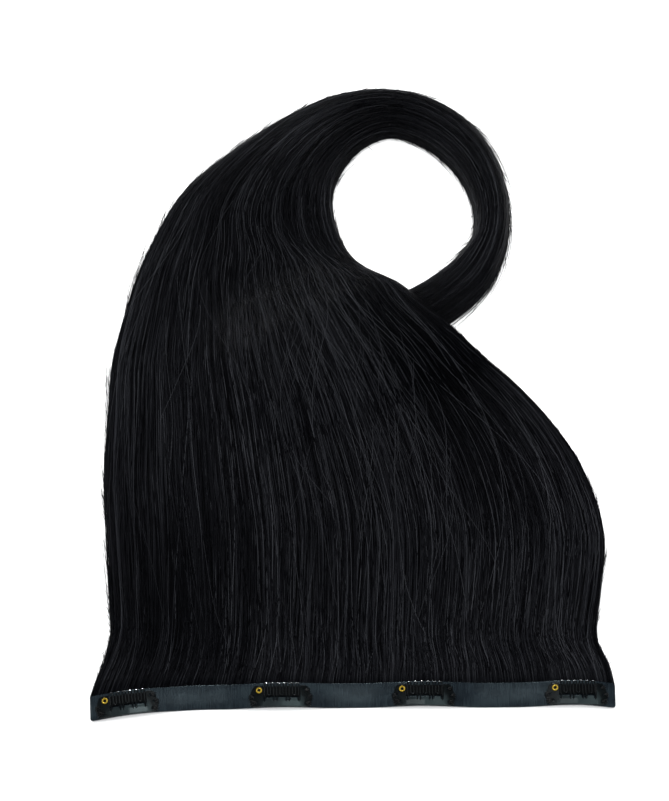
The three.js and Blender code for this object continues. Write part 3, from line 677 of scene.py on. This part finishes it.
# The snap clips: each one is a single blackened sheet of spring steel. Two flat end plates are sewn to the
# band, a wide bar joins them behind, and the comb in front turns on its creased bar over the clip's length.
CLIP_LENGTH, PLATE_HEIGHT, SHEET, STANDOFF, CLIP_MARGIN = 32, 11.2, 0.5, 0.45, 0.15
LEFT_PLATE, RIGHT_PLATE, TOP_INSET, BOTTOM_INSET, WAIST = 7.1, 5.9, 2.3, 1.6, 4.8
PLATE_CORNER, PLATE_EDGE, INNER_CORNER = 1.6, 0.12, 0.3
SEWING_HOLE, EYELET_HOLE = 0.75, 1.35
EYELET_INSET, EYELET_UP = 5.1, 8.6
LEFT_HOLES = ((2.3, 5.4, SEWING_HOLE), (3.9, 2.2, SEWING_HOLE), (EYELET_INSET, EYELET_UP, EYELET_HOLE))
RIGHT_HOLES = ((3.8, 8.8, SEWING_HOLE), (2.2, 5.3, SEWING_HOLE), (3.3, 1.8, SEWING_HOLE))
# The back bar reaches down to just above the tabs, widened as painted shade behind the teeth.
BACK_BAR_UP, BACK_BAR_HEIGHT = 5.2, 5.4
BAR_HEIGHT, TAB_HEIGHT, TAB_CURL = 3.2, 1.3, 0.3
TOOTH_UNITS, TOOTH_WIDTH, TOOTH_THICKNESS, TOOTH_TOP = 3, 0.7, 0.45, 12.4
TOOTH_ARCH, TOOTH_DROP, TIP_START, RETURN_BOTTOM, LEG_INSET = 1.15, 0.35, 9.7, 5.3, 0.15
RUNNING_GAP = 0.3
CREASE_SOFTNESS, CREASE_DEPTH, CREASE_WIDTH = 0.15, 0.07, 0.16
STRIP_EDGE, WELD = 0.38, 0.002
WIRE_SIDES, WIRE_SQUARENESS = 12, 0.7
LEAF_LEFT = LEFT_PLATE + RUNNING_GAP - CLIP_LENGTH / 2
LEAF_RIGHT = CLIP_LENGTH / 2 - RIGHT_PLATE - RUNNING_GAP
LEAF_MIDDLE, LEAF_HALF = (LEAF_LEFT + LEAF_RIGHT) / 2, (LEAF_RIGHT - LEAF_LEFT) / 2
PITCH = (LEAF_HALF - LEG_INSET - TOOTH_WIDTH / 2) / (TOOTH_UNITS - 0.5 + 0.26)
LOOP_RADIUS, TAB_WIDTH = 0.26 * PITCH, 0.95 * PITCH


def on_band(clip, points):
    """Points in a clip's own millimetres, turned with the band's line and set on its face."""
    heading = math.atan2(sway_at(clip + 0.5) - sway_at(clip - 0.5), 1)
    place = band_point(np.array(clip), CLIP_MARGIN - BAND_HEIGHT / 2, BAND_THICKNESS + STANDOFF)
    x, y, z = np.moveaxis(np.asarray(points, float), -1, 0)
    turned = np.stack([
        x * math.cos(heading) - y * math.sin(heading), x * math.sin(heading) + y * math.cos(heading), z], -1)
    return turned + place


def bow_at(clip, x):
    """How high the clip's sheet lies above the clip's middle at x: it bows with the hump under it."""
    return rise_at(clip + np.asarray(x, float)) - rise_at(clip)


def plate_height(clip, side, x):
    """Height of a flat end plate at x: a straight slope between the bow at its two ends."""
    width = LEFT_PLATE if side < 0 else RIGHT_PLATE
    end, inner = side * CLIP_LENGTH / 2, side * (CLIP_LENGTH / 2 - width)
    slope = (bow_at(clip, end) - bow_at(clip, inner)) / (end - inner)
    return bow_at(clip, (end + inner) / 2) + slope * (np.asarray(x, float) - (end + inner) / 2)


def leaf_height(clip, x):
    """Height of the comb's bar: two straight halves that meet in a crease, pressed deeper at its line."""
    away = np.asarray(x, float) - LEAF_MIDDLE
    bow = np.where(away > 0, bow_at(clip, LEAF_RIGHT), bow_at(clip, LEAF_LEFT))
    halves = bow * np.sqrt(away**2 + CREASE_SOFTNESS**2) / LEAF_HALF
    return halves - CREASE_DEPTH * np.exp(-((away / CREASE_WIDTH) ** 2))


def join(parts):
    """One list of points and faces from several closed shells."""
    points, faces, start = [], [], 0
    for shell, shell_faces in parts:
        points.append(shell.reshape(-1, 3))
        faces += [f + start for f in shell_faces]
        start += len(points[-1])
    return np.concatenate(points), faces


def rounded_corner(before, corner, after, radius, steps=7):
    """Points that round a corner: a quadratic curve between the two places a radius away from it."""
    before, corner, after = (np.array(p, float) for p in (before, corner, after))
    start = corner + (before - corner) * radius / np.linalg.norm(before - corner)
    end = corner + (after - corner) * radius / np.linalg.norm(after - corner)
    t = np.linspace(0, 1, steps)[:, None]
    return (1 - t) ** 2 * start + 2 * t * (1 - t) * corner + t**2 * end


def cut_sheet(outline, holes, thickness, edge):
    """A flat sheet with holes and rounded edges: a filled curve made a mesh, as points and faces by size."""
    curve = bpy.data.curves.new("sheet", "CURVE")
    curve.dimensions = "2D"
    curve.fill_mode = "BOTH"
    curve.extrude = thickness / 2 - edge
    curve.bevel_depth = edge
    curve.bevel_resolution = 2
    curve.offset = -edge
    for ring in (outline, *holes):
        spline = curve.splines.new("POLY")
        spline.points.add(len(ring) - 1)
        flat_ring = np.column_stack([ring, np.zeros(len(ring)), np.ones(len(ring))])
        spline.points.foreach_set("co", flat_ring.ravel())
        spline.use_cyclic_u = True
    holder = bpy.data.objects.new("sheet", curve)
    scene.collection.objects.link(holder)
    mesh = bpy.data.meshes.new_from_object(holder.evaluated_get(bpy.context.evaluated_depsgraph_get()))
    bpy.data.objects.remove(holder)
    shell = bmesh.new()
    shell.from_mesh(mesh)
    bmesh.ops.remove_doubles(shell, verts=shell.verts, dist=WELD)
    bmesh.ops.triangulate(shell, faces=shell.faces)
    bmesh.ops.recalc_face_normals(shell, faces=shell.faces)
    points = np.array([v.co for v in shell.verts])
    faces = np.array([[v.index for v in f.verts] for f in shell.faces])
    shell.free()
    return points, faces


def end_plate(clip, side, holes):
    """One end plate with its holes: side is -1 for the eyelet's end and 1 for the plain one."""
    end, inner = CLIP_LENGTH / 2, CLIP_LENGTH / 2 - (LEFT_PLATE if side < 0 else RIGHT_PLATE)
    waist, low, high = (end, WAIST), (end - BOTTOM_INSET, 0), (end - TOP_INSET, PLATE_HEIGHT)
    inner_low, inner_high = (inner, 0), (inner, PLATE_HEIGHT)
    outline = np.concatenate([
        rounded_corner(inner_high, inner_low, low, INNER_CORNER),
        rounded_corner(inner_low, low, waist, PLATE_CORNER),
        rounded_corner(low, waist, high, PLATE_CORNER),
        rounded_corner(waist, high, inner_high, PLATE_CORNER),
        rounded_corner(high, inner_high, inner_low, INNER_CORNER)])
    around = np.linspace(0, -2 * np.pi, 25)[:-1]
    rings = [np.stack([end - i + r * np.cos(around), u + r * np.sin(around)], -1) for i, u, r in holes]
    points, faces = cut_sheet(outline, rings, SHEET, PLATE_EDGE)
    points[:, 0] *= side
    if side < 0:
        faces = faces[:, ::-1]
    points[:, 2] += SHEET / 2 + plate_height(clip, side, points[:, 0])
    return points, [faces]


def rounded_section(low, high, thickness, edge, steps=4, across=5):
    """A section of sheet from low to high: rounded edges and level faces. Returns its y and its z."""
    turn = np.linspace(0, np.pi / 2, steps)
    low, high = np.broadcast_arrays(np.asarray(low, float)[..., None], np.asarray(high, float)[..., None])
    flat = np.linspace(0, 1, across + 2)[1:-1]
    y = np.concatenate([
        high - edge + edge * np.cos(turn), high - edge - (high - low - 2 * edge) * flat,
        low + edge - edge * np.sin(turn), low + edge - edge * np.cos(turn),
        low + edge + (high - low - 2 * edge) * flat, high - edge + edge * np.sin(turn)], -1)
    z = np.concatenate([
        thickness - edge + edge * np.sin(turn), np.full(across, thickness),
        thickness - edge + edge * np.cos(turn), edge - edge * np.sin(turn),
        np.zeros(across), edge - edge * np.cos(turn)])
    return y, np.broadcast_to(z, y.shape)


def strip(x, low, high, height, thickness=SHEET, curl=0.0):
    """A closed strip of sheet along x: from low to high across, at a height, with its tabs curled up."""
    y, z = rounded_section(low, high, thickness, thickness * STRIP_EDGE)
    z = z + height[:, None] + curl * smooth((y - BAR_HEIGHT) / TAB_HEIGHT)
    points = np.stack(np.broadcast_arrays(x[:, None], y, z), -1)
    return points, tube_faces(1, len(x), y.shape[-1])


def tooth_line(middle):
    """A tooth's middle line: leg, loop, short return, loop, leg, as straight lines and half circles."""
    loop_y = TOOTH_TOP - TOOTH_WIDTH / 2 - LOOP_RADIUS
    turn_back = PITCH / 2 - LOOP_RADIUS
    return_y = RETURN_BOTTOM + TOOTH_WIDTH / 2 + turn_back
    root_y = BAR_HEIGHT - TOOTH_WIDTH
    over, under = np.linspace(np.pi, 0, 13), np.linspace(np.pi, 2 * np.pi, 9)

    def leg(x, start, end, steps):
        return np.stack(np.broadcast_arrays(x, np.linspace(start, end, steps + 1)[:-1]), -1)

    def bend(x, y, radius, angle):
        return np.stack([x + radius * np.cos(angle), y + radius * np.sin(angle)], -1)

    return np.concatenate([
        leg(middle - PITCH / 2 - LOOP_RADIUS, root_y, loop_y, 10),
        bend(middle - PITCH / 2, loop_y, LOOP_RADIUS, over),
        leg(middle - turn_back, loop_y, return_y, 6)[1:],
        bend(middle, return_y, turn_back, under),
        leg(middle + turn_back, return_y, loop_y, 6)[1:],
        bend(middle + PITCH / 2, loop_y, LOOP_RADIUS, over),
        leg(middle + PITCH / 2 + LOOP_RADIUS, root_y, loop_y, 10)[::-1]])


def tooth(clip, middle):
    """One tooth of flattened wire: it climbs off the bar, arches over the hair and dips at its tips."""
    line = tooth_line(middle)
    x, y = line.T
    climb = smooth((y - BAR_HEIGHT) / (BACK_BAR_UP - BAR_HEIGHT))
    dip = np.clip((y - TIP_START) / (TOOTH_TOP - TIP_START), 0, 1) ** 2
    z = SHEET / 2 + TOOTH_ARCH * climb - TOOTH_DROP * dip + leaf_height(clip, x)
    ahead = np.gradient(line, axis=0)
    ahead /= np.linalg.norm(ahead, axis=1, keepdims=True)
    around = 2 * np.pi * np.arange(WIRE_SIDES) / WIRE_SIDES
    wide = np.sign(np.cos(around)) * np.abs(np.cos(around)) ** WIRE_SQUARENESS * TOOTH_WIDTH / 2
    thick = np.sign(np.sin(around)) * np.abs(np.sin(around)) ** WIRE_SQUARENESS * TOOTH_THICKNESS / 2
    points = np.stack([
        x[:, None] - ahead[:, 1:2] * wide, y[:, None] + ahead[:, :1] * wide, z[:, None] + thick], -1)
    return points, tube_faces(1, len(line), WIRE_SIDES)


def metal_noise(material, scale, detail=3.0):
    """Noise over the piece's own place: its height."""
    tree = material.node_tree
    place = texture_node(tree, "TexCoord")
    noise = texture_node(tree, "TexNoise", Scale=scale, Detail=detail, Roughness=0.6)
    tree.links.new(place.outputs["Object"], noise.inputs["Vector"])
    return noise.outputs["Fac"]


# Painted sheen: the pressed bar is coloured lighter than the plates, and lighter towards the clip's right
# end, for the light that it mirrors. The UV's first number is how much painted sheen a point has; random
# patches add to it.
clip_steel, steel_shader = shader("clip_steel", Metallic=0.4, Specular_IOR_Level=0.3)
PATCHES_SHARE = 0.35
patches_and_sheen = scaled(clip_steel, metal_noise(clip_steel, 260.0), PATCHES_SHARE, first_number(clip_steel))
tone_by(clip_steel, steel_shader, patches_and_sheen, [
    (0.1, (0.0015, 0.0023, 0.0027)), (0.3, (0.0040, 0.0058, 0.0065)), (0.7, (0.020, 0.029, 0.031)),
    (0.92, (0.036, 0.050, 0.052))])
speckle = metal_noise(clip_steel, 2200.0)
tone_by(
    clip_steel, steel_shader, speckle, [(0.3, (0.17, 0.17, 0.17)), (0.7, (0.25, 0.25, 0.25))], "Roughness")
relief(clip_steel, steel_shader, speckle, 0.2, 0.01)

# Painted glint: the very tops of the wires' loops are coloured as light, metallic steel so that they shine;
# the
# UV's first number is how much painted glint a point has.
tooth_black, tooth_shader = shader("tooth_black", Roughness=0.16, Specular_IOR_Level=0.35)
glint_share = first_number(tooth_black)
tone_by(tooth_black, tooth_shader, glint_share, [
    (0.0, (0.0030, 0.0042, 0.0050)), (0.4, (0.0075, 0.010, 0.0115)), (1.0, (0.46, 0.49, 0.50))])
tone_by(tooth_black, tooth_shader, glint_share, [(0.3, (0.5, 0.5, 0.5)), (0.8, (0.96, 0.96, 0.96))], "Metallic")

# The back bar is coloured near black and matt: a painted shade for the dark behind the bright wires of the
# teeth.
back_shade_black, back_shade_shader = shader("back_shade_black", Roughness=0.55, Specular_IOR_Level=0.06)
back_shade_grain = metal_noise(back_shade_black, 1500.0)
tone_by(back_shade_black, back_shade_shader, back_shade_grain, [
    (0.3, (0.0007, 0.0009, 0.0011)), (0.7, (0.0018, 0.0023, 0.0027))])
relief(back_shade_black, back_shade_shader, back_shade_grain, 0.3, 0.02)


def dress(piece, slot_name, body, *nodes):
    """Gives a finished piece its body, and hides the CAD nodes that it stands for. The slot name is not
    used.
    """
    if nodes:
        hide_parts(*nodes)
    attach(piece, body)


# Painted sheen of the pressed bar: its share at the left end, and what it gains towards the right end.
SHEEN_LEFT, SHEEN_GAIN = 0.28, 0.37


def painted_sheen_at(x):
    """The painted sheen of the pressed bar at x: it grows towards the clip's right end."""
    return SHEEN_LEFT + SHEEN_GAIN * smooth((x - LEAF_LEFT) / (LEAF_RIGHT - LEAF_LEFT))


def painted_sheen_uv(points):
    """A UV for each point of the pressed bar or of a neck at its end: its painted sheen there, and its x."""
    x = points.reshape(-1, 3)[:, 0]
    return np.stack([painted_sheen_at(x), x], -1)


tab_middles = LEAF_MIDDLE + (np.arange(TOOTH_UNITS) - (TOOTH_UNITS - 1) / 2) * 2 * PITCH
PLATE_LAP, LEVEL_FACE, GLINT_TOP = 0.4, 0.95, 0.75
BACK_STATIONS, BACK_UP, BACK_SHEET, BAR_SHEET, NECK_SHEET = 41, 0.04, SHEET * 0.85, SHEET * 0.9, SHEET * 0.78
# How far the painted sheen of the bar spreads onto the plates, and how it fades out.
SHEEN_REACH, SHEEN_FADE, SHEEN_ABOVE, SHEEN_TOP_FADE = 3.2, 2.4, 0.5, 0.8
TAB_LAP, TAB_FADE = 0.3, 0.45
NECK_HALF, NECK_STATIONS, NECK_LOW, NECK_TOP_GAP, NECK_UP = 0.55, 7, 0.15, 0.2, 0.03
for number, clip in enumerate(CLIP_X, 1):
    points, faces = join([end_plate(clip, -1, LEFT_HOLES), end_plate(clip, 1, RIGHT_HOLES)])
    # Painted sheen on the plates next to the pressed bar, fading out away from it and above its height.
    past_leaf = np.maximum(LEAF_LEFT - points[:, 0], points[:, 0] - LEAF_RIGHT)
    plate_sheen = painted_sheen_at(points[:, 0]) * smooth((SHEEN_REACH - past_leaf) / SHEEN_FADE)
    plate_sheen = plate_sheen * smooth((BAR_HEIGHT + SHEEN_ABOVE - points[:, 1]) / SHEEN_TOP_FADE)
    frame_piece = make_piece(
        f"snap_frame_{number}", on_band(clip, points), faces, clip_steel, np.stack([plate_sheen, points[:, 0]], -1))
    facing = np.empty(3 * len(frame_piece.data.polygons))
    frame_piece.data.polygons.foreach_get("normal", facing)
    frame_piece.data.polygons.foreach_set("use_smooth", np.abs(facing[2::3]) < LEVEL_FACE)
    dress(frame_piece, "clip_steel", "root", f"clip_{number}_frame")

    bar_x = np.linspace(
        LEFT_PLATE - PLATE_LAP - CLIP_LENGTH / 2, CLIP_LENGTH / 2 - RIGHT_PLATE + PLATE_LAP, BACK_STATIONS)
    back_low = np.full(BACK_STATIONS, BACK_BAR_UP)
    # The back bar is a real part of the frame, made wide and near black as painted shade behind the teeth.
    points, faces = strip(
        bar_x, back_low, back_low + BACK_BAR_HEIGHT, bow_at(clip, bar_x) + BACK_UP, BACK_SHEET)
    back_piece = make_piece(f"snap_back_{number}", on_band(clip, points.reshape(-1, 3)), faces, back_shade_black)
    dress(back_piece, "clip_steel", "root")

    leaf_x = np.unique(np.concatenate([
        np.linspace(LEAF_LEFT, LEAF_RIGHT, 121), np.linspace(LEAF_MIDDLE - 0.5, LEAF_MIDDLE + 0.5, 15)]))
    near_tab = np.abs(leaf_x[:, None] - tab_middles[None, :]).min(1)
    tab = smooth((TAB_WIDTH / 2 + TAB_LAP - near_tab) / TAB_FADE)
    points, faces = strip(
        leaf_x, np.zeros(len(leaf_x)), BAR_HEIGHT + TAB_HEIGHT * tab, leaf_height(clip, leaf_x),
        BAR_SHEET, TAB_CURL)
    bar = make_piece(
        f"snap_bar_{number}", on_band(clip, points.reshape(-1, 3)), faces, clip_steel, painted_sheen_uv(points))
    dress(bar, "clip_steel", f"clip_{number}_leaf", f"clip_{number}_comb")

    points, faces = join([tooth(clip, middle) for middle in tab_middles])
    # Painted glint along the last stretch of each loop's top.
    painted_glint = smooth((points[:, 1] - TOOTH_TOP + GLINT_TOP) / GLINT_TOP)
    teeth = make_piece(
        f"snap_teeth_{number}", on_band(clip, points), faces, tooth_black,
        np.stack([painted_glint, points[:, 0]], -1))
    dress(teeth, "clip_steel", f"clip_{number}_leaf")

    for side, end, name in ((-1, LEAF_LEFT, "left"), (1, LEAF_RIGHT, "right")):
        neck_x = end + side * RUNNING_GAP / 2 + np.linspace(-NECK_HALF, NECK_HALF, NECK_STATIONS)
        on_plate = smooth(side * (neck_x - end) / RUNNING_GAP)
        height = leaf_height(clip, neck_x) * (1 - on_plate) + plate_height(clip, side, neck_x) * on_plate
        neck_low = np.full(NECK_STATIONS, NECK_LOW)
        neck_high = np.full(NECK_STATIONS, BAR_HEIGHT - NECK_TOP_GAP)
        points, faces = strip(neck_x, neck_low, neck_high, height + NECK_UP, NECK_SHEET)
        neck = make_piece(
            f"snap_neck_{number}_{name}", on_band(clip, points.reshape(-1, 3)), faces, clip_steel,
            painted_sheen_uv(points))
        over_gap = [(end + side * RUNNING_GAP, BAR_HEIGHT / 2, SHEET / 2), (end, BAR_HEIGHT / 2, SHEET / 2)]
        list((on_band(clip, over_gap) * MM).tolist())
        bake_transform(neck)

# The eyelets: short brass tubes, pressed through the left end plate of each clip. The rim is rolled outwards
# over the plate in a half round, which is all that shows of them.
EYELET_X = EYELET_INSET - CLIP_LENGTH / 2
EYELET_BORE, EYELET_BARREL, EYELET_FLANGE, EYELET_SEAT, EYELET_ROLL = 0.78, 1.05, 1.6, 0.65, 0.45
EYELET_LIP, EYELET_SIDES = 0.07, 40
brass, brass_shader = shader("brass", Metallic=0.6, Roughness=0.24, Specular_IOR_Level=0.5)
tone_by(brass, brass_shader, metal_noise(brass, 900.0), [
    (0.3, (0.33, 0.22, 0.020)), (0.7, (0.50, 0.35, 0.042))])

roll = np.linspace(0, np.pi, 13)
middle_radius, roll_half = (EYELET_BORE + EYELET_FLANGE) / 2, (EYELET_FLANGE - EYELET_BORE) / 2
profile_r = np.concatenate([
    [EYELET_BORE, EYELET_BARREL, EYELET_BARREL], middle_radius + roll_half * np.cos(roll)])
profile_z = np.concatenate([
    [0, 0, EYELET_SEAT], EYELET_SEAT + EYELET_LIP + (EYELET_ROLL - EYELET_LIP) * np.sin(roll)])
around = 2 * np.pi * np.arange(EYELET_SIDES) / EYELET_SIDES
k, j = np.meshgrid(np.arange(EYELET_SIDES), np.arange(len(profile_r)), indexing="ij")
k_after, j_after = (k + 1) % EYELET_SIDES, (j + 1) % len(profile_r)
count = len(profile_r)
eyelet_faces = np.stack([
    k * count + j, k_after * count + j, k_after * count + j_after, k * count + j_after], -1).reshape(-1, 4)
for number, clip in enumerate(CLIP_X, 1):
    x = EYELET_X + profile_r * np.cos(around[:, None])
    y = EYELET_UP + profile_r * np.sin(around[:, None])
    points = np.stack([x, y, profile_z + plate_height(clip, -1, x)], -1)
    eyelet = make_piece(f"eyelet_{number}", on_band(clip, points.reshape(-1, 3)), [eyelet_faces], brass)
    dress(eyelet, "clip_brass", "root", f"clip_{number}_eyelet")

# The sewing thread: twisted black polyester. Three turns come up through each end hole, spread like a fan
# over the plate, go round its outer edge and down into the band.
THREAD, THREAD_SIDES, THREAD_STEPS = 0.42, 6, 15
PAST_EDGE, TURN_POWER, RISE_POWER, BURIED, HOLE_SPREAD = 0.3, 0.6, 0.45, 0.4, 0.5
STITCHES = [(-1, *hole[:2]) for hole in LEFT_HOLES[:2]] + [(1, *hole[:2]) for hole in RIGHT_HOLES]
TURNS = (-0.36, 0.0, 0.36)
thread_black, thread_shader = shader("thread_black", Roughness=0.4, Specular_IOR_Level=0.3)
twist = metal_noise(thread_black, 3200.0)
tone_by(thread_black, thread_shader, twist, [
    (0.3, (0.0012, 0.0014, 0.0017)), (0.7, (0.0045, 0.0052, 0.006))])
relief(thread_black, thread_shader, twist, 0.7, 0.06)


def stitches(clip):
    """All turns of thread at one clip: each comes up its hole, crosses the plate and goes down its edge."""
    side, inset, up, fan = (np.array(column, float) for column in zip(
        *[(side, inset, up, turn) for side, inset, up in STITCHES for turn in TURNS]))
    past_waist = np.where(up > WAIST, (up - WAIST) / (PLATE_HEIGHT - WAIST) * TOP_INSET,
                          (WAIST - up) / WAIST * BOTTOM_INSET)
    length = inset - past_waist + PAST_EDGE
    theta = np.linspace(0, np.pi, THREAD_STEPS)
    forward = (1 - np.sign(np.cos(theta)) * np.abs(np.cos(theta)) ** TURN_POWER) / 2
    raised = np.abs(np.sin(theta)) ** RISE_POWER
    along = length[:, None] * forward
    direction = np.stack([side * np.cos(fan), np.sin(fan), 0 * fan], -1)
    start = np.stack([side * (CLIP_LENGTH / 2 - inset), up + HOLE_SPREAD * fan, 0 * up], -1)
    line = start[:, None] + direction[:, None] * along[..., None]
    left_plate, right_plate = (plate_height(clip, end, line[..., 0]) for end in (-1, 1))
    plate = np.where(side[:, None] < 0, left_plate, right_plate)
    line[..., 2] = plate * raised + (SHEET + THREAD * BURIED + STANDOFF) * raised - STANDOFF
    line[..., 2] += (1 - raised) * (rise_at(clip + line[..., 0]) - rise_at(clip))
    ahead = np.gradient(line, axis=1)
    ahead /= np.linalg.norm(ahead, axis=-1, keepdims=True)
    level = np.cross([0.0, 0.0, 1.0], direction)[:, None]
    out = np.cross(ahead, level)
    turn = (2 * np.pi * np.arange(THREAD_SIDES) / THREAD_SIDES)[:, None]
    round_line = level[:, :, None] * np.cos(turn) + out[:, :, None] * np.sin(turn)
    points = line[:, :, None] + THREAD / 2 * round_line
    return points.reshape(-1, 3), tube_faces(len(side), len(theta), THREAD_SIDES)


for number, clip in enumerate(CLIP_X, 1):
    points, faces = stitches(clip)
    thread = make_piece(f"thread_{number}", on_band(clip, points), faces, thread_black)
    dress(thread, "hair", "root")
